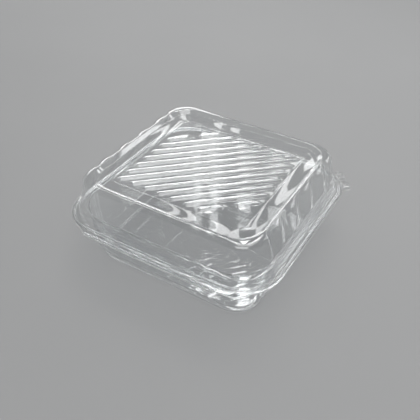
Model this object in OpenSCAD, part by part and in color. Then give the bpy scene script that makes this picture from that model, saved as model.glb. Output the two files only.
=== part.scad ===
// Clear hinged pastry box: a tray and a domed lid formed from one plastic sheet.
// The hinge runs along the -Y side, the box opens at +Y, and Z is up from the resting face.

/* [Sheet and flange] */
// Length of the flange, left to right
flange_w = 200; // [180:1:230]
// Depth of the flange, hinge side to opening side
flange_d = 190; // [175:1:220]
// Corner radius of the flange
flange_r = 36; // [34:0.5:38]
// Thickness of the formed sheet
sheet_t = 0.5; // [0.35:0.05:0.6]
// Inset of the stiffening ridge on the flange
ridge_in = 1.6; // [1:0.1:2]
// Width of the stiffening ridge at its foot
ridge_w = 2; // [1.6:0.1:2.4]
// Height of the stiffening ridge
ridge_h = 0.8; // [0.5:0.1:1.2]

/* [Lid walls] */
// Height of the lid above the flange
lid_h = 34.5; // [32:0.5:42]
// Width of the flange outside the lid's foot
rim_w = 6; // [5.5:0.25:7]
// Height of the foot band that closes over the tray's bead
band_h = 7.5; // [7:0.25:9]
// Inward lean of the foot band
band_lean = 2; // [1.5:0.1:2.5]
// Width of the step above the foot band
step_w = 1.6; // [1.2:0.1:2]
// Rise of the step above the foot band
step_h = 1.7; // [1:0.1:2.5]
// Inward lean of the upper wall
wall_lean = 4.6; // [3.5:0.1:5.5]
// Radius of the shoulder
shoulder_r = 6; // [4:0.25:6.5]

/* [Side flutes] */
// Number of bulged bays on the left and on the right wall
flute_n = 4; // [2:1:6]
// Plain length left at each end of the fluted wall
flute_margin = 4.5; // [0:0.5:8]
// How far the middle of a bay stands out of the wall
flute_bulge = 0.4; // [0.2:0.1:1.2]
// How far a bay curves back to its sides at the shoulder, as a share of its width
flute_curve = 0.2; // [0.15:0.01:0.24]
// Width of the crest left between the dish and the valleys that part the bays
crest_w = 2; // [1.5:0.25:4]
// Height of the valleys' foot above the step
valley_foot = 2; // [1:0.25:4]

/* [Dished top] */
// Inset of the dish from the flange edge
dish_in = 20.5; // [20:0.25:24]
// Width of the sloping edge of the dish
dish_slope = 3.5; // [2.5:0.25:5]
// Depth of the sloping edge of the dish
dish_depth = 3; // [2:0.25:4]
// Width of the shallow band between the slope and the panel
band_w = 12; // [8:0.5:16]
// Fall of that band towards the panel
band_fall = 1; // [0.6:0.1:1.6]
// Step from the band down to the panel
panel_step = 0.9; // [0.6:0.1:1.4]
// Corner radius of the panel
panel_r = 7; // [5:0.5:10]

/* [Ribs] */
// Number of diagonal ribs, counted to both sides of the middle one
rib_side = 6; // [3:1:7]
// Spacing of the ribs
rib_pitch = 9; // [8:0.25:10]
// Radius of a rib
rib_r = 3; // [2.6:0.1:3.4]
// Height of a rib above the panel
rib_rise = 1.8; // [1.2:0.1:2.2]
// Space between a rib's end and the panel's edge
rib_margin = 3; // [2:0.25:6]
// Gap in the middle of the two outermost ribs
rib_break = 15; // [10:1:20]

/* [Tray] */
// Height of the flange above the resting face
tray_h = 46; // [40:0.5:55]
// Inset of the tray's wall at the flange
tray_in = 12.9; // [12.6:0.1:14]
// Inward lean of the wall above the ledge
tray_lean = 3; // [2:0.25:4]
// Height of the ledge above the resting face
ledge_h = 11.5; // [9:0.5:15]
// Width of the ledge
ledge_w = 1.2; // [0.8:0.1:1.6]
// Inward lean of the wall below the ledge
foot_lean = 2.2; // [1.5:0.1:3.5]
// Radius of the edge round the floor
floor_r = 4; // [3:0.25:5]
// Corner radius of the tray's wall at the flange
tray_r = 30; // [28:0.5:31]
// Height of the bead that the lid closes over
bead_h = 6; // [5:0.25:6.25]
// Radius of the bead's outer edge
bead_r = 1.5; // [1:0.1:1.8]
// Flare of the bead's inner edge
bead_flare = 1.2; // [0.8:0.1:1.4]
// Clearance between the bead and the lid
fit_gap = 0.6; // [0.5:0.05:0.7]

/* [Hinge and pull tabs] */
// Width of the hinge strip outside the flange
hinge_w = 4.8; // [4:0.1:6]
// Plain length between the hinge strip and the flange corner
hinge_margin = 1; // [0.5:0.5:8]
// Radius of the bead along the outer edge of the hinge strip
hinge_bead_r = 0.9; // [0.7:0.05:0.9]
// Reach of the pointed lugs beside the ends of the hinge strip
lug_reach = 2.4; // [1:0.1:3]
// Length of the right lug, which is the longer one
lug_l = 15; // [8:0.5:18]
// Width of one pull tab
tab_w = 14; // [12:0.5:15]
// Reach of a pull tab beyond the flange corner
tab_reach = 6.5; // [5.5:0.25:8]
// Direction of the pull tabs, turned from the X axis
tab_turn = 41; // [30:1:60]
// Clearance between the lid's tab and the tray's tab
tab_gap = 0.6; // [0.4:0.1:2]
// Corner radius of a pull tab
tab_r = 4; // [3:0.25:5]
// Number of grip ridges on a pull tab
grip_n = 4; // [2:1:4]
// Radius of a grip ridge
grip_r = 0.5; // [0.3:0.05:0.6]

/* [Hidden] */
$fn = 48;
clear_tint = [0.86, 0.90, 0.92, 0.4];
cut = 1;
half_w = flange_w / 2;
half_d = flange_d / 2;
step_z = band_h + step_h;
step_in = rim_w + band_lean + step_w;
shoulder_in = step_in + wall_lean;
slope_in = dish_in + dish_slope;
slope_z = lid_h - dish_depth;
panel_lip_in = slope_in + band_w;
panel_lip_z = slope_z - band_fall;
panel_in = panel_lip_in + panel_step;
panel_z = panel_lip_z - panel_step;
dish_corner = panel_in + panel_r;
tray_corner = tray_in + tray_r;
bead_in = rim_w + sheet_t + fit_gap;
bead_lean = band_lean * bead_h / band_h;
flute_pitch = (flange_d - 2 * flange_r - 2 * flute_margin) / flute_n;
flute_top = flute_pitch / 8 / flute_curve + flute_pitch * flute_curve / 2;
flute_arc = flute_top + wall_lean;
flute_sweep = asin((flute_pitch / 2 - sheet_t) / flute_top);
hinge_half = half_w - flange_r - hinge_margin;
hinge_y = half_d + hinge_w;
grip_pitch = (tab_reach - grip_r) / grip_n;

// Sweeps a side profile round the box: straight sides and quarter-turn corners.
// The profile's X is measured outwards from the corner axis, which lies at this inset.
module round_box(corner) {
  for (k = [0:3]) {
    out = (k % 2 == 0 ? half_w : half_d) - corner;
    along = (k % 2 == 0 ? half_d : half_w) - corner;
    rotate(90 * k) translate([out, 0, 0]) rotate([90, 0, 0])
      linear_extrude(2 * along, center = true) children();
    rotate(90 * k) translate([out, along, 0]) rotate_extrude(angle = 90) children();
  }
}

// Fills the middle of a swept box between two heights.
module core(corner, low, high) {
  translate([corner - half_w, corner - half_d, low])
    cube([flange_w - 2 * corner, flange_d - 2 * corner, high - low]);
}

// Area inside a wall given as [outwards, height] points; the last one is a corner
// that is rounded by r, where the leaning wall turns into the flat.
module side_profile(path, r) {
  last = len(path) - 1;
  wall = path[last - 1];
  top = path[last];
  lean = atan2(wall[0] - top[0], top[1] - wall[1]);
  centre = [top[0] + r * tan(lean) - r / cos(lean), top[1] - r];
  below = [for (i = [0:last - 1]) path[i]];
  turn = [centre + r * [cos(lean), sin(lean)], [centre[0], top[1]], [0, top[1]]];
  polygon(concat([[0, path[0][1]]], below, turn));
  translate(centre) circle(r);
}

// A solid block with that side profile.
module block(path, r, corner) {
  round_box(corner) side_profile(path, r);
  core(corner, path[0][1], path[len(path) - 1][1]);
}

// A bar with round ends, from the origin along Z.
module capsule(length, r) {
  rotate_extrude() intersection() {
    union() {
      circle(r);
      translate([0, length]) circle(r);
      square([r, length]);
    }
    translate([0, -r]) square([r, length + 2 * r]);
  }
}

// Plan of the flange.
module flange_plan() {
  square([flange_w - 2 * flange_r, flange_d], center = true);
  square([flange_w, flange_d - 2 * flange_r], center = true);
  for (x = [-1, 1], y = [-1, 1])
    translate([x * (half_w - flange_r), y * (half_d - flange_r)]) circle(flange_r);
}

// Pointed lugs that the trimming leaves beside the hinge strip; the right one is longer.
module lug_plan() {
  start = half_w - flange_r;
  polygon([
    [start, -half_d + rim_w],
    [start, -half_d - lug_reach],
    [start + lug_l, -half_d - lug_reach / 2],
    [start + lug_l + rim_w, -half_d + rim_w]
  ]);
  polygon([
    [-hinge_half, -half_d + rim_w],
    [-hinge_half, -half_d - lug_reach],
    [-start - lug_reach, -half_d - lug_reach],
    [-start - lug_reach - 2 * rim_w, -half_d + rim_w]
  ]);
}

// Section of the hinge strip: the flat sheet with a hollow half-round bead along its outer edge.
module hinge_section() {
  middle = sheet_t + hinge_bead_r - hinge_y;
  difference() {
    union() {
      translate([-hinge_y, 0]) square([hinge_w + ridge_in, sheet_t]);
      intersection() {
        translate([middle, 0]) circle(hinge_bead_r + sheet_t / 2);
        translate([-hinge_y, 0]) square([hinge_w, lid_h]);
      }
    }
    translate([middle, 0]) circle(hinge_bead_r - sheet_t / 2);
  }
}

// The flat rim shared by both halves, with its ridge, hinge strip and lugs; the sheet lies above Z = 0.
module rim() {
  linear_extrude(sheet_t) flange_plan();
  linear_extrude(sheet_t) lug_plan();
  round_box(flange_r) translate([flange_r - ridge_in, 0]) polygon([
    [0, 0],
    [-ridge_h / 2, sheet_t + ridge_h],
    [ridge_h / 2 - ridge_w, sheet_t + ridge_h],
    [-ridge_w, 0]
  ]);
  rotate([90, 0, 90]) linear_extrude(2 * hinge_half, center = true) hinge_section();
}

// A pull tab on the opening corner; side 1 is the lid's, side -1 the tray's.
module pull_tab(side) {
  tip = flange_r + tab_reach;
  root = flange_r - rim_w + ridge_in;
  middle = side * (tab_w + tab_gap) / 2;
  translate([half_w - flange_r, half_d - flange_r, 0]) rotate(tab_turn) {
    linear_extrude(sheet_t) {
      translate([root, middle - tab_w / 2]) square([tip - tab_r - root, tab_w]);
      translate([root, middle - tab_w / 2 + tab_r]) square([tip - root, tab_w - 2 * tab_r]);
      for (y = [-1, 1]) translate([tip - tab_r, middle + y * (tab_w / 2 - tab_r)]) circle(tab_r);
    }
    for (i = [1:grip_n]) translate([tip - i * grip_pitch, middle, sheet_t]) rotate([90, 0, 0])
      linear_extrude(tab_w - 2 * tab_r, center = true) intersection() {
        circle(grip_r);
        translate([-grip_r, -sheet_t / 2]) square([2 * grip_r, grip_r + sheet_t]);
      }
  }
}

// Lid block without flutes or dish, drawn in by the sheet offset.
module lid_block(o) {
  x = flange_r - o;
  block([
    [x - rim_w, 0],
    [x - rim_w - band_lean, band_h],
    [x - step_in, step_z],
    [x - shoulder_in, lid_h]
  ], shoulder_r, flange_r);
}

// Bulged bays on the right wall.
module bays(o) {
  arc_x = half_w - step_in + flute_bulge - flute_arc;
  for (i = [0:flute_n - 1]) translate([arc_x, (i - (flute_n - 1) / 2) * flute_pitch, 0])
    rotate(-flute_sweep) rotate_extrude(angle = 2 * flute_sweep) side_profile([
      [flute_arc - o, step_z],
      [flute_top - o, lid_h]
    ], shoulder_r);
}

// Leaning cut along the right wall that leaves valleys between the bays, deeper towards the shoulder.
module valleys(o) {
  lean = wall_lean / (lid_h - step_z);
  low = [half_w - step_in - lean * valley_foot - o, step_z + valley_foot];
  high = [half_w - dish_in + crest_w - o, lid_h];
  slope = (low - high) / (high[1] - low[1]);
  under = low + slope * valley_foot / 2;
  over = high - slope * cut;
  rotate([90, 0, 0]) linear_extrude(flute_n * flute_pitch + 2 * o, center = true)
    polygon([under, [half_w, under[1]], [half_w, over[1]], over]);
}

// Dish and panel sunk into the lid's top, drawn out by the sheet offset.
module dish(o) {
  x = dish_corner + o;
  rise = cut * dish_depth / dish_slope;
  round_box(dish_corner) polygon([
    [0, panel_z],
    [x - panel_in, panel_z],
    [x - panel_lip_in, panel_lip_z],
    [x - slope_in, slope_z],
    [x - dish_in, lid_h],
    [x - dish_in + cut, lid_h + rise],
    [0, lid_h + rise]
  ]);
  core(dish_corner, panel_z, lid_h + rise);
}

// Where a rib's centre line crosses the panel: start and end along its direction.
function rib_span(shift, reach, dir) =
  let (
    base = shift * [-dir[1], dir[0]],
    from = max((-reach[0] - base[0]) / dir[0], (-reach[1] - base[1]) / dir[1]),
    to = min((reach[0] - base[0]) / dir[0], (reach[1] - base[1]) / dir[1])
  ) [from, to];

// Diagonal half-round ribs on the panel; the two outermost are broken in the middle.
module ribs(o) {
  reach = [half_w, half_d] - (panel_in + rib_margin + rib_r) * [1, 1];
  dir = reach / norm(reach);
  for (k = [-rib_side:rib_side]) {
    span = rib_span(k * rib_pitch, reach, dir);
    middle = (span[0] + span[1]) / 2;
    pieces = abs(k) < rib_side ? [span]
      : [[span[0], middle - rib_break / 2], [middle + rib_break / 2, span[1]]];
    for (p = pieces) if (p[1] - p[0] > rib_r)
      rotate(atan2(dir[1], dir[0])) translate([p[0], k * rib_pitch, panel_z + rib_rise - rib_r])
        rotate([0, 90, 0]) capsule(p[1] - p[0], rib_r - o);
  }
}

// The lid's outer form; drawn in by the sheet thickness it is the lid's inside.
module lid_form(o) {
  translate([0, 0, -o]) difference() {
    union() {
      difference() {
        lid_block(o);
        for (side = [0, 1]) mirror([side, 0, 0]) valleys(o);
      }
      for (side = [0, 1]) mirror([side, 0, 0]) bays(o);
    }
    dish(o);
  }
  ribs(o);
}

// The tray's outer form, flange at Z = 0; drawn in by the sheet thickness it is the tray's inside.
module tray_form(o, top) {
  x = tray_corner - tray_in - o;
  ledge = tray_h - ledge_h;
  flare_z = bead_h - bead_flare;
  draft = tray_lean / ledge;
  flare_x = x + draft * flare_z;
  translate([0, 0, o]) mirror([0, 0, 1]) block([
    [flare_x + top - flare_z, -top],
    [flare_x, -flare_z],
    [x - tray_lean, ledge],
    [x - tray_lean - ledge_w, ledge + ledge_w],
    [x - tray_lean - ledge_w - foot_lean, tray_h]
  ], floor_r, tray_corner);
}

// The bead that stands up inside the lid's foot band.
module bead_block(o) {
  x = flange_r - bead_in - o;
  block([[x, -sheet_t], [x - bead_lean, bead_h - o]], bead_r, flange_r);
}

// Tray with its floor, ledge, bead and rim.
module base_tray() {
  color(clear_tint) translate([0, 0, tray_h]) difference() {
    union() {
      mirror([0, 0, 1]) rim();
      translate([0, 0, -sheet_t]) pull_tab(-1);
      bead_block(0);
      tray_form(0, bead_h - sheet_t);
    }
    tray_form(sheet_t, bead_h + cut);
    difference() {
      translate([0, 0, -sheet_t / 2]) bead_block(sheet_t);
      tray_form(0, bead_h + cut);
    }
  }
}

// Lid with its foot band, fluted walls, dished top and ribs.
module lid() {
  color(clear_tint) translate([0, 0, tray_h]) difference() {
    union() {
      rim();
      pull_tab(1);
      lid_form(0);
    }
    lid_form(sheet_t);
  }
}

base_tray();
lid();
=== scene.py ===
# %% [markdown]
# # A clear pastry box
# The real box is one thin sheet of clear plastic. Heat and vacuum draw it into a tray and a domed lid, and the two
# fold together along a crease on one side of the rim. Everything that the eye sees is gloss on bends: there is
# hardly any colour, so each bend needs its true radius and the sheet needs its two faces.
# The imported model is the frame: it says where the tray and the lid are and how the lid turns.

import math

import bmesh
import bpy
import numpy as np
from mathutils import Matrix, Vector
from mathutils.geometry import delaunay_2d_cdt


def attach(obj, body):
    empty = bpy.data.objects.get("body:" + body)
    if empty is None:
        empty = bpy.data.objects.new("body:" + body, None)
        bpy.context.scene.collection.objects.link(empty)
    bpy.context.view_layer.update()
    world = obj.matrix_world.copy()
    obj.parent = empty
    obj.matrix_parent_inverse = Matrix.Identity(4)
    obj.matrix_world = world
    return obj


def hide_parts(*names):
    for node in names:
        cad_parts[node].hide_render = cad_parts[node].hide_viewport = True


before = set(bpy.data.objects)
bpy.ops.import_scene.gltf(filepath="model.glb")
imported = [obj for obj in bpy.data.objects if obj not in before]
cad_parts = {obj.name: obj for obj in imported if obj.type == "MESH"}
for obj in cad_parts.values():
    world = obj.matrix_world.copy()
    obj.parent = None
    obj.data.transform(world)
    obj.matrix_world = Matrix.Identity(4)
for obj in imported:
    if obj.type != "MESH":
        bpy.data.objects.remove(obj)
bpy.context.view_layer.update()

# %% [markdown]
# ## One finish for the whole box
# Both halves are the same clear sheet. It could be faked with a faint alpha, but then nothing bends behind it, so a
# real glass-like shader on a sheet of real thickness is used. Lamps and soft bounced light pass straight through,
# by two Light Path switches, or the inside would go dark. Three things keep it from looking like a perfect pane:
# slow waves where the sheet was stretched, a faint uneven haze, and frosted cut edges along the trimmed rim.
# A small class lets the node maths be written as ordinary sums.


# %% Node maths as plain expressions
class Wire:
    """An output socket; sums on it add Math nodes to its tree."""

    def __init__(self, tree, socket=None):
        self.tree, self.socket = tree, socket

    def node(self, kind, settings=None, sockets=None, out=0):
        """Adds any node: first its settings, then the values or links of its sockets. Returns one output."""
        made = self.tree.nodes.new(kind)
        for name, value in (settings or {}).items():
            setattr(made, name, value)
        for key, value in (sockets or {}).items():
            if isinstance(value, Wire):
                self.tree.links.new(value.socket, made.inputs[key])
            else:
                made.inputs[key].default_value = value
        return Wire(self.tree, made.outputs[out]) if len(made.outputs) else made

    def math(self, operation, *values):
        return self.node("ShaderNodeMath", {"operation": operation}, dict(enumerate(values)))

    def __add__(self, other):
        return self.math("ADD", self, other)

    __radd__ = __add__

    def __sub__(self, other):
        return self.math("SUBTRACT", self, other)

    def __rsub__(self, other):
        return self.math("SUBTRACT", other, self)

    def __mul__(self, other):
        return self.math("MULTIPLY", self, other)

    __rmul__ = __mul__

    def __truediv__(self, other):
        return self.math("DIVIDE", self, other)

    def __neg__(self):
        return self.math("SUBTRACT", 0.0, self)

    def __lt__(self, other):
        return self.math("LESS_THAN", self, other)

    def __abs__(self):
        return self.math("ABSOLUTE", self)

    def root(self):
        return self.math("SQRT", self.math("MAXIMUM", self, 0.0))

    def most(self, other):
        return self.math("MAXIMUM", self, other)

    def least(self, other):
        return self.math("MINIMUM", self, other)


def new_tree(material):
    material.use_nodes = True
    material.node_tree.nodes.clear()
    return Wire(material.node_tree)


print("node maths ready")

# %% The clear sheet
clear_sheet = bpy.data.materials.new("clear_sheet")
sheet = new_tree(clear_sheet)
place = sheet.node("ShaderNodeTexCoord", out="Object")
trim = sheet.node("ShaderNodeAttribute", {"attribute_name": "trim"}, out="Fac")
haze = sheet.node("ShaderNodeTexNoise", {}, {"Vector": place, "Scale": 38.0, "Detail": 3.0, "Roughness": 0.6})
slow = sheet.node("ShaderNodeTexNoise", {}, {"Vector": place, "Scale": 14.0, "Detail": 1.0})
ripple = sheet.node("ShaderNodeTexNoise", {}, {"Vector": place, "Scale": 110.0, "Detail": 2.0})
tint = sheet.node(
    "ShaderNodeMix",
    {"data_type": "RGBA"},
    {"Factor": slow, "A": (0.965, 0.975, 0.978, 1), "B": (0.985, 0.989, 0.99, 1)},
    out="Result",
)
waves = sheet.node(
    "ShaderNodeBump",
    {},
    {"Height": slow + ripple * 0.03, "Strength": 0.05, "Distance": 0.0008},
)
plastic = sheet.node(
    "ShaderNodeBsdfPrincipled",
    {},
    {
        "Base Color": tint,
        "Roughness": 0.01 + haze * 0.03 + trim * 0.3,
        "IOR": 1.57,
        "Transmission Weight": 1.0,
        "Normal": waves,
    },
)
path = sheet.node("ShaderNodeLightPath", out="Is Diffuse Ray")
lamp_ray = Wire(sheet.tree, path.socket.node.outputs["Is Shadow Ray"])
passed = sheet.node("ShaderNodeBsdfTransparent", {}, {"Color": (0.945, 0.948, 0.95, 1)})
for_bounced = sheet.node("ShaderNodeMixShader", {}, {0: path, 1: plastic, 2: passed})
for_lamps = sheet.node("ShaderNodeMixShader", {}, {0: lamp_ray, 1: for_bounced, 2: passed})
sheet.node("ShaderNodeOutputMaterial", {}, {"Surface": for_lamps})
print("clear sheet:", len(clear_sheet.node_tree.nodes), "nodes")

# %% [markdown]
# ## Drawing the sheet
# The box is a loft: one side profile is carried round a rounded rectangle. Blender could bevel a boxy mesh instead,
# but bevels on thin walls break easily, so the profile itself is rounded first and every bend has its own radius.
# All sizes are in millimetres until the mesh is made.

# %% Profiles and loops
MM = 0.001
SHEET, AIR = 0.5, 0.06
FLANGE_Z = 46.0
HALF_X, HALF_Y = 100.0, 95.0
FLANGE_AXIS = 36.0


def rounded(corners, steps=6):
    """A side profile from (inset, height, radius) corners, each turned by its radius."""
    points = np.array([c[:2] for c in corners], float)
    profile = [points[0]]
    for before, here, after, corner in zip(points, points[1:], points[2:], corners[1:]):
        u = (before - here) / np.linalg.norm(before - here)
        v = (after - here) / np.linalg.norm(after - here)
        half = math.acos(float(np.clip(u @ v, -1, 1))) / 2
        turn = math.pi - 2 * half
        centre = here + (u + v) / np.linalg.norm(u + v) * corner[2] / math.sin(half)
        first = here + u * corner[2] / math.tan(half) - centre
        last = here + v * corner[2] / math.tan(half) - centre
        for t in np.linspace(0, 1, steps + 1):
            mixed = math.sin((1 - t) * turn) * first + math.sin(t * turn) * last
            profile.append(centre + mixed / math.sin(turn))
    return np.array(profile + [points[-1]])


def refined(profile, longest):
    """The profile with its long straight runs split."""
    fine = [profile[0]]
    for a, b in zip(profile, profile[1:]):
        steps = max(1, math.ceil(np.linalg.norm(b - a) / longest))
        fine += [a + (b - a) * k / steps for k in range(1, steps + 1)]
    return np.array(fine)


def loop(inset, axis, sides, ends=10, corner=20):
    """Plan of a loop round the box, counter-clockwise; axis is the inset of its corners' centres."""
    turns = np.radians(np.linspace(0, 90, corner + 1)[1:-1])
    across = np.linspace(-1, 1, ends + 1)
    r = axis - inset
    parts = []
    for quarter, along in enumerate([sides, across, sides, across]):
        reach, half = (HALF_X - axis, HALF_Y - axis) if quarter % 2 == 0 else (HALF_Y - axis, HALF_X - axis)
        side = np.column_stack([np.full(len(along), reach + r), along * half])
        bend = np.column_stack([reach + r * np.cos(turns), half + r * np.sin(turns)])
        c, s = math.cos(quarter * math.pi / 2), math.sin(quarter * math.pi / 2)
        parts.append(np.vstack([side, bend]) @ np.array([[c, s], [-s, c]]))
    return np.vstack(parts)


def loft(loops):
    """Quads between stacked loops of equal length: points and faces."""
    n = len(loops[0])
    faces = [
        (k * n + i, k * n + (i + 1) % n, (k + 1) * n + (i + 1) % n, (k + 1) * n + i)
        for k in range(len(loops) - 1)
        for i in range(n)
    ]
    return np.vstack(loops), faces


def level(plan, z):
    return np.column_stack([plan, np.full(len(plan), z)])


print("loop of", len(loop(0, FLANGE_AXIS, np.linspace(-1, 1, 13))), "points")

# %% [markdown]
# ## Fluted lid walls
# The left and right walls swell out in four rounded bays, so that the thin wall stays stiff. Between two bays the wall
# leans back further, in a valley that deepens towards the shoulder. They could be cut with booleans, but a rule is
# smoother: at each height the wall is whichever lies further out, the bay's cone or the valley, with the turn
# between them rounded. The loops carry more points near the valleys, where the wall turns fast.

# %% Bays and valleys
PITCH, BAYS = 27.25, 4
BULGE, BAY_TOP_R = 0.4, 19.76
STEP_IN, STEP_Z = 9.6, 9.2
SHOULDER_IN, LID_H, SHOULDER_R = 14.2, 34.5, 6.0
VALLEY_FOOT, VALLEY_TOP = (9.96, 11.2), (18.5, 34.5)


def eased(t):
    t = np.clip(t, 0, 1)
    return t * t * (3 - 2 * t)


def smooth_least(a, b, k):
    """The smaller of two values, with the turn between them rounded over k."""
    h = np.clip(0.5 + 0.5 * (b - a) / k, 0, 1)
    return b * (1 - h) + a * h - k * h * (1 - h)


def bay_inset(z, off):
    """Inset of a bay's face at height z, at this distance from the bay's middle: a cone with a rounded shoulder."""
    lean = math.atan2(SHOULDER_IN - STEP_IN, LID_H - STEP_Z)
    drawn = SHOULDER_R / math.cos(lean) - SHOULDER_R * math.tan(lean)
    rise = z - (LID_H - SHOULDER_R)
    if rise < SHOULDER_R * math.sin(lean):
        back = (z - STEP_Z) * math.tan(lean)
    else:
        back = SHOULDER_IN - STEP_IN + drawn - math.sqrt(max(SHOULDER_R**2 - rise**2, 0))
    r = BAY_TOP_R + SHOULDER_IN - STEP_IN - back
    return STEP_IN - BULGE + back + r - np.sqrt(np.maximum(r * r - off * off, 0.01))


def fluted(inset, z, y):
    """Inset of a side wall at height z for each place y along it."""
    row = np.abs(y) / PITCH
    off = PITCH * np.abs(row - np.floor(np.minimum(row, BAYS / 2 - 0.01)) - 0.5)
    lip = 1 - math.sqrt(1 - max(z - LID_H + 1, 0) ** 2)
    valley = np.interp(z, *zip((STEP_Z, STEP_IN), VALLEY_FOOT[::-1], VALLEY_TOP[::-1])) + lip
    face = smooth_least(valley, bay_inset(z, off), 0.8)
    past = np.clip((np.abs(y) - BAYS / 2 * PITCH + 0.6) / 3.2, 0, 1)
    return inset + eased((z - STEP_Z + 1.2) / 1.6) * (1 - eased(past)) * (face - inset)


half_side = HALF_Y - FLANGE_AXIS
ruler = np.linspace(-half_side, half_side, 4001)
fineness = np.where(np.abs(ruler - PITCH * np.round(ruler / PITCH)) < 4.6, 1 / 0.55, 1 / 0.9)
count = np.concatenate([[0], np.cumsum((fineness[1:] + fineness[:-1]) / 2 * np.diff(ruler))])
side_steps = 2 * round(count[-1] / 2)
lid_sides = np.interp(np.linspace(0, count[-1], side_steps + 1), count, ruler) / half_side
print("points along a fluted wall:", len(lid_sides))

# %% Lid walls, shoulder and dish
DISH_AXIS = 43.9
PANEL_Z = 29.6
PANEL_RING = 38.0
lid_profile = rounded(
    [
        (5.0, SHEET),
        (6.13, SHEET, 0.8),
        (8.0, 7.5, 0.7),
        (STEP_IN, STEP_Z, 0.8),
        (SHOULDER_IN, LID_H, SHOULDER_R),
        (20.5, LID_H, 1.2),
        (24.0, 31.5, 1.5),
        (36.0, 30.5, 0.7),
        (36.9, PANEL_Z, 0.7),
        (PANEL_RING, PANEL_Z),
    ]
)
DISH_STARTS = 19.6
outer_part = int((lid_profile[:, 0] < DISH_STARTS).sum())
fine_wall, fine_dish = refined(lid_profile[:outer_part], 1.3), refined(lid_profile[outer_part:], 4.0)
wall_points = len(lid_sides)
lid_loops = []
for inset, z in np.vstack([fine_wall, fine_dish]):
    plan = loop(inset, FLANGE_AXIS if inset < DISH_STARTS else DISH_AXIS, lid_sides)
    if STEP_Z - 1.5 < z and inset < DISH_STARTS:
        wall = HALF_X - fluted(inset, z, lid_sides * half_side)
        left_wall = len(plan) // 2
        plan[:wall_points, 0] = wall
        plan[left_wall : left_wall + wall_points, 0] = -wall
    lid_loops.append(level(plan, z))
lid_walls = loft(lid_loops)
print("lid walls:", len(lid_loops), "loops,", len(lid_walls[1]), "faces")

# %% [markdown]
# ## Flat parts with raised beads
# The rim and the ribbed panel are flat sheets with raised lines. A grid fine enough for them would be huge, so the
# sheet is triangulated only where it bends: contour lines are drawn at the foot, on the fillet and on the crest of
# each bead, and a Delaunay triangulation fills between them.

# %% Contours and triangulation
def swell_width(r, rise, fillet):
    """Where a rounded bead's fillet ends, and where its crest meets the fillet."""
    foot = math.sqrt((r + fillet) ** 2 - (fillet + r - rise) ** 2)
    return foot, foot * r / (r + fillet)


def swell(d, r, rise, fillet):
    """Height of a rounded bead at distance d from its middle line."""
    foot, meet = swell_width(r, rise, fillet)
    crest = np.sqrt(np.maximum(r * r - d * d, 0)) + rise - r
    skirt = fillet - np.sqrt(np.maximum(fillet**2 - (foot - d) ** 2, 0))
    return np.where(d < meet, crest, np.where(d < foot, skirt, 0))


def contour_lines(r, rise, fillet, crest_steps=5, skirt_steps=4):
    """Distances from the middle line at which a bead needs points."""
    foot, meet = swell_width(r, rise, fillet)
    crest = r * np.sin(np.linspace(0, math.asin(meet / r), crest_steps + 1))
    end = math.asin((foot - meet) / fillet)
    return np.concatenate([crest, foot - fillet * np.sin(np.linspace(end, 0, skirt_steps + 1)[1:])])


def stadium(a, b, d, steps=10, longest=7.0):
    """A loop at distance d round the line from a to b, with points along its straight sides too."""
    a, b = np.array(a, float), np.array(b, float)
    heading = math.atan2(*(b - a)[::-1])
    spans = max(1, math.ceil(np.linalg.norm(b - a) / longest))
    parts = []
    for start, end, quarter in ((a, b, -math.pi / 2), (b, a, math.pi / 2)):
        turn = np.linspace(heading + quarter, heading + quarter + math.pi, steps + 1)
        side = d * np.array([math.cos(turn[0]), math.sin(turn[0])])
        parts.append(np.linspace(start + side, end + side, spans + 1)[1:-1])
        parts.append(np.column_stack([np.cos(turn), np.sin(turn)]) * d + end)
    return np.vstack(parts)


def off_line(points, a, b):
    """Distance of each point from the line between a and b."""
    a, b = np.array(a, float), np.array(b, float)
    t = np.clip((points - a) @ (b - a) / ((b - a) @ (b - a)), 0, 1)
    return np.linalg.norm(points - a - t[:, None] * (b - a), axis=1)


def inside(points, outline):
    """True for each point that lies within a closed outline."""
    x, y = points[:, :1], points[:, 1:]
    a, b = outline, np.roll(outline, -1, axis=0)
    spans = (a[:, 1] > y) != (b[:, 1] > y)
    rise = np.where(b[:, 1] == a[:, 1], 1.0, b[:, 1] - a[:, 1])
    crossing = a[:, 0] + (y - a[:, 1]) * (b[:, 0] - a[:, 0]) / rise
    return (spans & (x < crossing)).sum(axis=1) % 2 == 1


def flat_sheet(outline, hole=None, loops=(), lines=()):
    """Triangles of a flat sheet that keep every loop and line: plan points and faces."""
    closed = [outline, *([] if hole is None else [hole]), *loops]
    points, edges = [], []
    for part in closed + list(lines):
        start = len(points)
        points += [Vector(p) for p in part]
        edges += [(start + i, start + i + 1) for i in range(len(part) - 1)]
        if any(part is c for c in closed):
            edges.append((start + len(part) - 1, start))
    found = delaunay_2d_cdt(points, edges, [], 0, 1e-5)
    plan = np.array([p[:] for p in found[0]])
    faces = np.array(found[2])
    middle = plan[faces].mean(axis=1)
    keep = inside(middle, outline)
    if hole is not None:
        keep &= ~inside(middle, hole)
    a, b, c = (plan[faces[keep]][:, k] for k in range(3))
    area = (b[:, 0] - a[:, 0]) * (c[:, 1] - a[:, 1]) - (b[:, 1] - a[:, 1]) * (c[:, 0] - a[:, 0])
    return plan, [tuple(f if s > 0 else f[::-1]) for f, s in zip(faces[keep], area) if abs(s) > 1e-9]


print("a rib is", round(2 * swell_width(3, 1.8, 0.8)[0], 2), "mm wide at its foot")

# %% [markdown]
# ## The ribbed panel
# Thirteen rounded ribs cross the sunk panel from corner to corner, and the outermost two are broken in the
# middle. They follow one rule, so Geometry Nodes raises them: each point of the flat panel is lifted by its distance
# from the nearest rib's middle line. Pitch, radius, rise and the rest are inputs of the tree.

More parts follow.
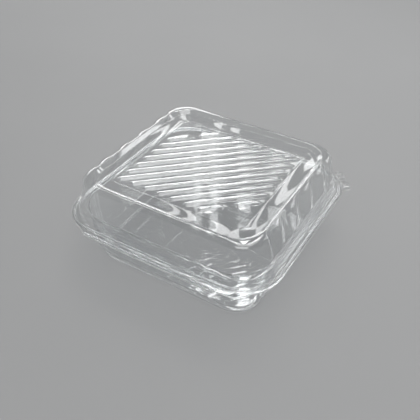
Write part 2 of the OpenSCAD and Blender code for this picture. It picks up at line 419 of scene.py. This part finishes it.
# %% Rib lines on the panel
RIB_SIDE, RIB_PITCH, RIB_BREAK = 6, 9.0, 15.0
RIB = (3.0, 1.8, 0.8)
RIB_REACH = np.array([57.1, 52.1])
rib_dir = RIB_REACH / np.linalg.norm(RIB_REACH)
rib_normal = np.array([-rib_dir[1], rib_dir[0]])
rib_lines = []
for k in range(-RIB_SIDE, RIB_SIDE + 1):
    base = k * RIB_PITCH * rib_normal
    start, end = max((-RIB_REACH - base) / rib_dir), min((RIB_REACH - base) / rib_dir)
    middle = (start + end) / 2
    broken = [(start, middle - RIB_BREAK / 2), (middle + RIB_BREAK / 2, end)]
    for a, b in broken if abs(k) == RIB_SIDE else [(start, end)]:
        rib_lines.append((base + a * rib_dir, base + b * rib_dir))
panel_outline = loop(PANEL_RING, DISH_AXIS, lid_sides)
panel_plan, panel_faces = flat_sheet(
    panel_outline,
    loops=[stadium(a, b, d) for a, b in rib_lines for d in contour_lines(*RIB)[1:]],
    lines=[np.linspace(a, b, 12) for a, b in rib_lines],
)
print("panel:", len(rib_lines), "rib lines,", len(panel_faces), "faces")

# %% Geometry Nodes: raise the ribs
rib_tree = bpy.data.node_groups.new("raise_ribs", "GeometryNodeTree")
rib_tree.interface.new_socket("Geometry", in_out="INPUT", socket_type="NodeSocketGeometry")
rib_tree.interface.new_socket("Geometry", in_out="OUTPUT", socket_type="NodeSocketGeometry")
rib_sizes = {
    "Pitch": RIB_PITCH * MM,
    "Radius": RIB[0] * MM,
    "Rise": RIB[1] * MM,
    "Fillet": RIB[2] * MM,
    "Reach X": RIB_REACH[0] * MM,
    "Reach Y": RIB_REACH[1] * MM,
    "Break": RIB_BREAK * MM,
    "Last Rib": float(RIB_SIDE),
}
rib_ids = {
    name: rib_tree.interface.new_socket(name, in_out="INPUT", socket_type="NodeSocketFloat").identifier
    for name in rib_sizes
}
rib_maths = Wire(rib_tree)
given = rib_tree.nodes.new("NodeGroupInput")
size = {name: Wire(rib_tree, given.outputs[name]) for name in rib_sizes}
spot = rib_maths.node("GeometryNodeInputPosition")
parted = rib_maths.node("ShaderNodeSeparateXYZ", {}, {0: spot}).socket.node
x, y = (Wire(rib_tree, parted.outputs[i]) for i in (0, 1))
length = (size["Reach X"] * size["Reach X"] + size["Reach Y"] * size["Reach Y"]).root()
dx, dy = size["Reach X"] / length, size["Reach Y"] / length
along, across = x * dx + y * dy, y * dx - x * dy
number = rib_maths.math("ROUND", across / size["Pitch"]).least(size["Last Rib"]).most(-size["Last Rib"])
shift = number * size["Pitch"]
begin = ((shift * dy - size["Reach X"]) / dx).most((-size["Reach Y"] - shift * dx) / dy)
stop = ((size["Reach X"] + shift * dy) / dx).least((size["Reach Y"] - shift * dx) / dy)
past_end = (begin - along).most(along - stop).most(0.0)
in_break = size["Break"] / 2 - abs(along - (begin + stop) / 2)
last = (size["Last Rib"] - 0.5) < abs(number)
beyond = past_end.most(in_break * last)
beside = across - shift
off = (beside * beside + beyond * beyond).root()
whole = size["Radius"] + size["Fillet"]
drop = whole - size["Rise"]
foot = (whole * whole - drop * drop).root()
on_crest = off < foot * size["Radius"] / whole
crest = (size["Radius"] * size["Radius"] - off * off).root() + size["Rise"] - size["Radius"]
skirt = size["Fillet"] - (size["Fillet"] * size["Fillet"] - (foot - off) * (foot - off)).root()
height = on_crest * crest + (1 - on_crest) * (off < foot) * skirt
lift = rib_maths.node("ShaderNodeCombineXYZ", {}, {"Z": height})
raised = rib_maths.node(
    "GeometryNodeSetPosition", {}, {"Geometry": Wire(rib_tree, given.outputs["Geometry"]), "Offset": lift}
)
plain = rib_maths.node("GeometryNodeRealizeInstances", {}, {"Geometry": raised})
dressed = rib_maths.node("GeometryNodeSetMaterial", {}, {"Geometry": plain, "Material": clear_sheet})
rib_tree.links.new(dressed.socket, rib_tree.nodes.new("NodeGroupOutput").inputs["Geometry"])

flat_panel = bpy.data.meshes.new("flat_panel")
flat_panel.from_pydata(level(panel_plan, FLANGE_Z + PANEL_Z) * MM, [], panel_faces)
panel_object = bpy.data.objects.new("flat_panel", flat_panel)
bpy.context.scene.collection.objects.link(panel_object)
ribs = panel_object.modifiers.new("ribs", "NODES")
ribs.node_group = rib_tree
for name, value in rib_sizes.items():
    ribs[rib_ids[name]] = value
made = bpy.data.meshes.new_from_object(panel_object.evaluated_get(bpy.context.evaluated_depsgraph_get()))
panel_points = np.empty(len(made.vertices) * 3)
made.vertices.foreach_get("co", panel_points)
panel_points = panel_points.reshape(-1, 3) / MM - [0, 0, FLANGE_Z]
panel = panel_points, [tuple(p.vertices) for p in made.polygons]
bpy.data.objects.remove(panel_object)
bpy.data.meshes.remove(made)
print("ribs rise", round(float(np.ptp(panel_points[:, 2])), 2), "mm above the panel")

# %% [markdown]
# ## The rim
# Both halves end in a flat rim with a stiffening bead, a hinge strip with one more bead along its fold, a small
# pointed lug where the trimming knife turns, and a ridged pull tab on the opening corner. The lid's tab and the
# tray's tab stand side by side, so that one finger holds each. The same drawing makes both rims: on the tray the beads
# point down.

# %% Rim outline, beads and grips
TAB_TURN, TAB_REACH, TAB_W, TAB_GAP, TAB_R = math.radians(41), 6.5, 14.0, 0.6, 4.0
GRIP_N = 4
HINGE_HALF, HINGE_Y, LUG = 63.0, 99.8 - AIR / 2, 2.4
RIDGE, RIDGE_IN = (0.95, 0.8, 0.3), 2.6
HINGE_BEAD, HINGE_LINE = (1.15, 0.65, 0.4), 98.4
GRIP, FROST = (0.5, 0.5, 0.2), 0.3
tab_axis = np.array([HALF_X - FLANGE_AXIS, HALF_Y - FLANGE_AXIS])
tab_out = np.array([math.cos(TAB_TURN), math.sin(TAB_TURN)])
tab_across = np.array([-tab_out[1], tab_out[0]])


def arc(centre, r, low, high, steps):
    turns = np.radians(np.linspace(low, high, steps + 1))
    return np.array(centre) + r * np.column_stack([np.cos(turns), np.sin(turns)])


def rim_outline(side):
    """Trimmed edge of a rim; side is 1 for the lid's tab and -1 for the tray's."""
    cx, cy = tab_axis
    low, high = sorted((side * TAB_GAP / 2, side * (TAB_GAP / 2 + TAB_W)))
    tip = FLANGE_AXIS + TAB_REACH
    turn = math.degrees(TAB_TURN)
    tab = np.vstack(
        [
            arc((tip - TAB_R, low + TAB_R), TAB_R, -90, 0, 8),
            arc((tip - TAB_R, high - TAB_R), TAB_R, 0, 90, 8),
        ]
    )
    tab = tab_axis + tab[:, :1] * tab_out + tab[:, 1:] * tab_across
    first = turn + math.degrees(math.asin(low / FLANGE_AXIS))
    second = turn + math.degrees(math.asin(high / FLANGE_AXIS))
    return np.vstack(
        [
            np.column_stack([np.full(9, HALF_X), np.linspace(-cy, cy, 9)]),
            arc(tab_axis, FLANGE_AXIS, 0, first, 10)[1:],
            tab,
            arc(tab_axis, FLANGE_AXIS, second, 90, 8),
            arc((-cx, cy), FLANGE_AXIS, 90, 180, 20),
            arc((-cx, -cy), FLANGE_AXIS, 180, 258, 18),
            [(-cx - LUG, -HALF_Y - LUG), (-HINGE_HALF - 0.4, -HALF_Y - LUG)],
            arc((-HINGE_HALF + 1, -HINGE_Y + 1), 1, 180, 270, 4),
            arc((HINGE_HALF - 1, -HINGE_Y + 1), 1, 270, 360, 4),
            [(HINGE_HALF, -HALF_Y - 0.3), (cx, -HALF_Y - 0.3), (cx + 0.3, -HALF_Y - LUG)],
            [(cx + 14, -HALF_Y - 1.3), (cx + 15.4, -HALF_Y - 0.6), (cx + 20.5, -HALF_Y + 5.4)],
            arc((cx, -cy), FLANGE_AXIS, -53, 0, 14)[:-1],
        ]
    )


def drawn_in(outline, by):
    """The outline moved inwards a little, for the line where the frosted cut edge ends."""
    ahead = np.roll(outline, -1, axis=0) - np.roll(outline, 1, axis=0)
    ahead /= np.linalg.norm(ahead, axis=1)[:, None]
    return outline + by * np.column_stack([-ahead[:, 1], ahead[:, 0]])


def rim(side, hole, top, down):
    """A rim's points, faces and cut-edge mask; down is -1 where its beads point down."""
    middle = side * (TAB_GAP + TAB_W) / 2
    pitch = (TAB_REACH - GRIP[0]) / GRIP_N
    grips = []
    for i in range(1, GRIP_N + 1):
        centre = tab_axis + (FLANGE_AXIS + TAB_REACH - i * pitch) * tab_out + middle * tab_across
        grips.append((centre - 3 * tab_across, centre + 3 * tab_across))
    crease = ((1.6 - HINGE_HALF, -HINGE_LINE), (HINGE_HALF - 1.6, -HINGE_LINE))
    outline = rim_outline(side)
    ridge_steps = contour_lines(*RIDGE, 3, 3)
    even = np.linspace(-1, 1, 5)
    loops = [loop(RIDGE_IN + s * d, FLANGE_AXIS, even, 4) for d in ridge_steps for s in (-1, 1) if d or s > 0]
    loops += [stadium(*crease, d, 8) for d in contour_lines(*HINGE_BEAD, 4, 3)[1:]]
    loops += [stadium(a, b, d, 6) for a, b in grips for d in contour_lines(*GRIP, 3, 2)[1:]]
    loops.append(drawn_in(outline, FROST))
    plan, faces = flat_sheet(outline, hole, loops, [np.linspace(a, b, 6) for a, b in [crease, *grips]])
    x_out = np.abs(plan) - tab_axis
    corner = np.linalg.norm(np.maximum(x_out, 0), axis=1)
    edge_in = FLANGE_AXIS - np.where((x_out > 0).all(axis=1), corner, x_out.max(axis=1))
    z = swell(np.abs(edge_in - RIDGE_IN), *RIDGE)
    z = np.maximum(z, swell(off_line(plan, *crease), *HINGE_BEAD)) * down
    for a, b in grips:
        z = z + swell(off_line(plan, a, b), *GRIP)
    edge = np.min([off_line(plan, a, b) for a, b in zip(outline, np.roll(outline, -1, axis=0))], axis=0)
    return np.column_stack([plan, top + z]), faces, edge < 0.02


lid_rim = rim(1, lid_loops[0][:, :2], SHEET, 1)
print("lid rim:", len(lid_rim[1]), "faces")

# %% [markdown]
# ## Tray
# The tray's sheet runs in from the rim, up over the bead that the lid snaps onto, and down the leaning wall past a
# ledge to the floor. It is the same loft as the lid, drawn along its upper face.

# %% Tray walls and floor
TRAY_AXIS = 42.9
tray_sides = np.linspace(-1, 1, 13)
tray_profile = rounded(
    [
        (5.0, 0.0),
        (7.1, 0.0, 0.7),
        (8.7, 6.0, 1.5),
        (12.28, 6.0, 0.8),
        (12.98, 5.3, 0.8),
        (16.4, -34.0, 0.9),
        (17.6, -35.2, 0.9),
        (19.8, -45.5, 3.6),
        (28.0, -45.5),
    ]
)
tray_loops = [
    level(loop(inset, FLANGE_AXIS if inset < 10.6 else TRAY_AXIS, tray_sides), z)
    for inset, z in refined(tray_profile, 6.0)
]
tray_points, tray_faces = loft(tray_loops)
floor_ring = len(tray_loops[0])
tray_faces.append(tuple(range(len(tray_points) - floor_ring, len(tray_points))))
tray_rim = rim(-1, tray_loops[0][:, :2], 0.0, -1)
print("tray:", len(tray_loops), "loops,", len(tray_faces), "faces, rim", len(tray_rim[1]))

# %% [markdown]
# ## From a surface to a sheet
# Each half is still a surface without thickness. The parts are welded where their points meet, and Solidify gives the
# sheet its half millimetre and closes the trimmed edge, so that light bends in and out of it as in the real one. The
# lid is a hair thinner, which leaves air between the two rims, also at the crease when the box lies open: faces that
# lie in exactly the same place confuse light.


# %% Weld and thicken
def sheet_piece(name, body, node, thickness, *parts):
    """Welds surface parts, thickens them inwards and puts the piece on its body."""
    points = np.vstack([p[0] for p in parts])
    edge = np.concatenate([p[2] if len(p) > 2 else np.zeros(len(p[0]), bool) for p in parts])
    faces, start = [], 0
    for p in parts:
        faces += [tuple(start + i for i in f) for f in p[1]]
        start += len(p[0])
    surface = bpy.data.meshes.new(name + "_surface")
    surface.from_pydata((points + [0, 0, FLANGE_Z]) * MM, [], faces)
    surface.attributes.new("trim", "FLOAT", "POINT").data.foreach_set("value", edge.astype(np.float32))
    work = bmesh.new()
    work.from_mesh(surface)
    bmesh.ops.remove_doubles(work, verts=work.verts, dist=0.004 * MM)
    bmesh.ops.delete(work, geom=[v for v in work.verts if not v.link_faces], context="VERTS")
    open_edges = sum(e.is_boundary for e in work.edges)
    odd = sum(not e.is_manifold and not e.is_boundary for e in work.edges)
    work.to_mesh(surface)
    work.free()
    holder = bpy.data.objects.new(name + "_surface", surface)
    bpy.context.scene.collection.objects.link(holder)
    wall = holder.modifiers.new("wall", "SOLIDIFY")
    wall.thickness, wall.offset = thickness * MM, -1
    wall.use_even_offset = wall.use_quality_normals = wall.use_rim = True
    mesh = bpy.data.meshes.new_from_object(holder.evaluated_get(bpy.context.evaluated_depsgraph_get()))
    bpy.data.objects.remove(holder)
    mesh.name = name
    mesh.polygons.foreach_set("use_smooth", np.ones(len(mesh.polygons), bool))
    mesh.set_sharp_from_angle(angle=math.radians(50))
    mesh.materials.clear()
    mesh.materials.append(clear_sheet)
    piece = bpy.data.objects.new(name, mesh)
    bpy.context.scene.collection.objects.link(piece)
    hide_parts(node)
    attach(piece, body)
    triangles = sum(len(p.vertices) - 2 for p in mesh.polygons)
    print(name + ":", triangles, "triangles,", open_edges, "trimmed edges,", odd, "odd edges")


sheet_piece("lid_shell", "lid", "lid", SHEET - AIR, lid_rim, lid_walls, panel)
sheet_piece("tray_shell", "base", "base_tray", SHEET, tray_rim, (tray_points, tray_faces))

# %% [markdown]
# ## Studio
# A clear thing is lit by what it reflects. A soft box overhead gives the general light and draws one clean bar along
# every rib, and a fill lamp on the viewer's side keeps the floor even. A row of short window lamps behind sparks on the
# bends, five pairs of panes lay strips on the flats and ribs, three strips on the right pick out the bays, and a low
# lamp behind brightens the rim. The floor is plain and pale. Far off, floor and surroundings show one tone to every
# ray that carries a picture, so no horizon cuts through the clear sheet, and the lamps alone still light the box.

# %% Floor
BACKDROP = (0.37, 0.373, 0.376, 1)


def seen_directly(wire):
    """1 for rays that carry a picture: from the camera, off gloss or through the clear sheet."""
    rays = wire.node("ShaderNodeLightPath", out="Is Camera Ray")
    outputs = rays.socket.node.outputs
    return rays.most(Wire(wire.tree, outputs["Is Glossy Ray"])).most(Wire(wire.tree, outputs["Is Transmission Ray"]))


floor_paint = bpy.data.materials.new("pale_floor")
paint = new_tree(floor_paint)
spot_on_floor = paint.node("ShaderNodeTexCoord", out="Object")
speckle = paint.node("ShaderNodeTexNoise", {}, {"Vector": spot_on_floor, "Scale": 6.0})
shade = paint.node(
    "ShaderNodeMix",
    {"data_type": "RGBA"},
    {"Factor": speckle, "A": (0.39, 0.393, 0.396, 1), "B": (0.41, 0.413, 0.416, 1)},
    out="Result",
)
matt = paint.node("ShaderNodeBsdfPrincipled", {}, {"Base Color": shade, "Roughness": 0.9, "Specular IOR Level": 0.15})
distance = paint.node("ShaderNodeVectorMath", {"operation": "LENGTH"}, {0: spot_on_floor}, out="Value")
far = paint.node("ShaderNodeMapRange", {"interpolation_type": "SMOOTHSTEP"}, {"Value": distance, 1: 0.4, 2: 1.1})
glow = paint.node("ShaderNodeEmission", {}, {"Color": BACKDROP, "Strength": 1.0})
blended = paint.node("ShaderNodeMixShader", {}, {0: far * seen_directly(paint), 1: matt, 2: glow})
paint.node("ShaderNodeOutputMaterial", {}, {"Surface": blended})
floor_mesh = bpy.data.meshes.new("studio_floor")
floor_mesh.from_pydata([(-4, -4, -0.0001), (4, -4, -0.0001), (4, 4, -0.0001), (-4, 4, -0.0001)], [], [(0, 1, 2, 3)])
floor_mesh.materials.append(floor_paint)
studio_floor = bpy.data.objects.new("studio_floor", floor_mesh)
bpy.context.scene.collection.objects.link(studio_floor)
print("floor laid")

# %% Camera at the photograph's view
YAW, PITCH_DOWN = math.radians(-31.45), math.radians(39.0)
FOCAL, PICTURE = 561.4, 420
TO_RIGHT, TO_UP, DISTANCE = 0.4, 12.7, 506.0
right = Vector((math.cos(YAW), -math.sin(YAW), 0))
up = Vector(
    (math.sin(YAW) * math.sin(PITCH_DOWN), math.cos(YAW) * math.sin(PITCH_DOWN), math.cos(PITCH_DOWN))
)
ahead = Vector(
    (math.sin(YAW) * math.cos(PITCH_DOWN), math.cos(YAW) * math.cos(PITCH_DOWN), -math.sin(PITCH_DOWN))
)
eye = Vector((0, 0, FLANGE_Z)) - TO_RIGHT * right - TO_UP * up - DISTANCE * ahead
camera_data = bpy.data.cameras.new("camera")
camera_data.sensor_width = 36
camera_data.lens = FOCAL / PICTURE * 36
camera_data.clip_start = 0.01
camera = bpy.data.objects.new("camera", camera_data)
camera.matrix_world = Matrix.Translation(eye * MM) @ Matrix((right, up, -ahead)).transposed().to_4x4()
bpy.context.scene.collection.objects.link(camera)
bpy.context.scene.camera = camera
print("camera at", [round(c, 3) for c in eye * MM])


# %% Lamps
def soft_lamp(name, place, aim, width, height, brightness, upright=Vector((0, 0, 1))):
    """A rectangular lamp whose face has this brightness, whatever its size."""
    data = bpy.data.lights.new(name, "AREA")
    data.shape, data.size, data.size_y = "RECTANGLE", width, height
    data.energy = brightness * math.pi * width * height
    lamp = bpy.data.objects.new(name, data)
    back = (place - aim).normalized()
    side = upright.cross(back).normalized()
    lamp.matrix_world = Matrix.Translation(place) @ Matrix((side, back.cross(side), back)).transposed().to_4x4()
    lamp.visible_camera = False
    bpy.context.scene.collection.objects.link(lamp)


centre = Vector((0, 0, 0.05))
away = Vector((ahead.x, ahead.y, 0)).normalized()
overhead = centre + 0.1 * away + 0.24 * right
soft_lamp("overhead", overhead + Vector((0, 0, 1.45)), overhead, 0.8, 1.0, 2.4, away)
soft_lamp("fill", centre - 0.95 * away + Vector((0, 0, 1.25)), centre, 1.0, 0.8, 3.2)


def upright_strip(name, turn, sideways, width, low, high, brightness, far=1.5):
    """A narrow lamp behind the box between two elevations, seen at a turn from the camera's own heading."""
    heading = Matrix.Rotation(math.radians(-turn), 3, "Z") @ away
    middle = math.radians((low + high) / 2)
    place = centre + far * (heading * math.cos(middle) + Vector((0, 0, math.sin(middle))))
    tall = 2 * far * math.tan(math.radians(high - low) / 2)
    soft_lamp(name, place + sideways * right, centre + sideways * right, width, tall, brightness)


WINDOWS = (9, 41, 73, 105, 137, 169)
PANES = ((198, 0.025), (214, 0.03), (245, 0.047), (277, 0.05), (303, 0.04))
EYE_TO_LAMP = 2.0


def at_column(column):
    """How far to the side a lamp stands that a level face shows in this column of the picture."""
    return EYE_TO_LAMP * (column - PICTURE / 2) / FOCAL


for i, column in enumerate(WINDOWS):
    upright_strip("window_%d" % i, 0, at_column(column), 0.045, 50, 57, 12.0)
for i, (column, width) in enumerate(PANES):
    upright_strip("low_pane_%d" % i, 0, at_column(column), width, 30, 39.5, 3.0)
    upright_strip("high_pane_%d" % i, 0, at_column(column), width, 47, 73, 10.0)
for i, turn in enumerate((46, 60, 74)):
    upright_strip("right_%d" % i, turn, 0, 0.14, 20, 44, 4.5)
upright_strip("back_low", -14, 0, 0.9, 8, 26, 3.0)
world = bpy.data.worlds.new("studio")
bpy.context.scene.world = world
air = new_tree(world)
height = air.node("ShaderNodeSeparateXYZ", {}, {0: air.node("ShaderNodeTexCoord", out="Object")}, out="Z")
low = air.node(
    "ShaderNodeMapRange", {"interpolation_type": "SMOOTHSTEP"}, {"Value": height, 1: 0.15, 2: 0.4, 3: 1, 4: 0}
)
pale = (low * seen_directly(air)).most(air.node("ShaderNodeLightPath", out="Is Camera Ray"))
wall_colour = air.node(
    "ShaderNodeMix", {"data_type": "RGBA"}, {"Factor": pale, "A": (0.11, 0.11, 0.11, 1), "B": BACKDROP}, out="Result"
)
sky = air.node("ShaderNodeBackground", {}, {"Color": wall_colour})
air.node("ShaderNodeOutputWorld", {}, {"Surface": sky})
bpy.context.scene.view_settings.view_transform = "Standard"
for kind in ("max_bounces", "transmission_bounces", "glossy_bounces"):
    setattr(bpy.context.scene.cycles, kind, 64)
bpy.context.scene.cycles.transparent_max_bounces = 64
print("lamps set")
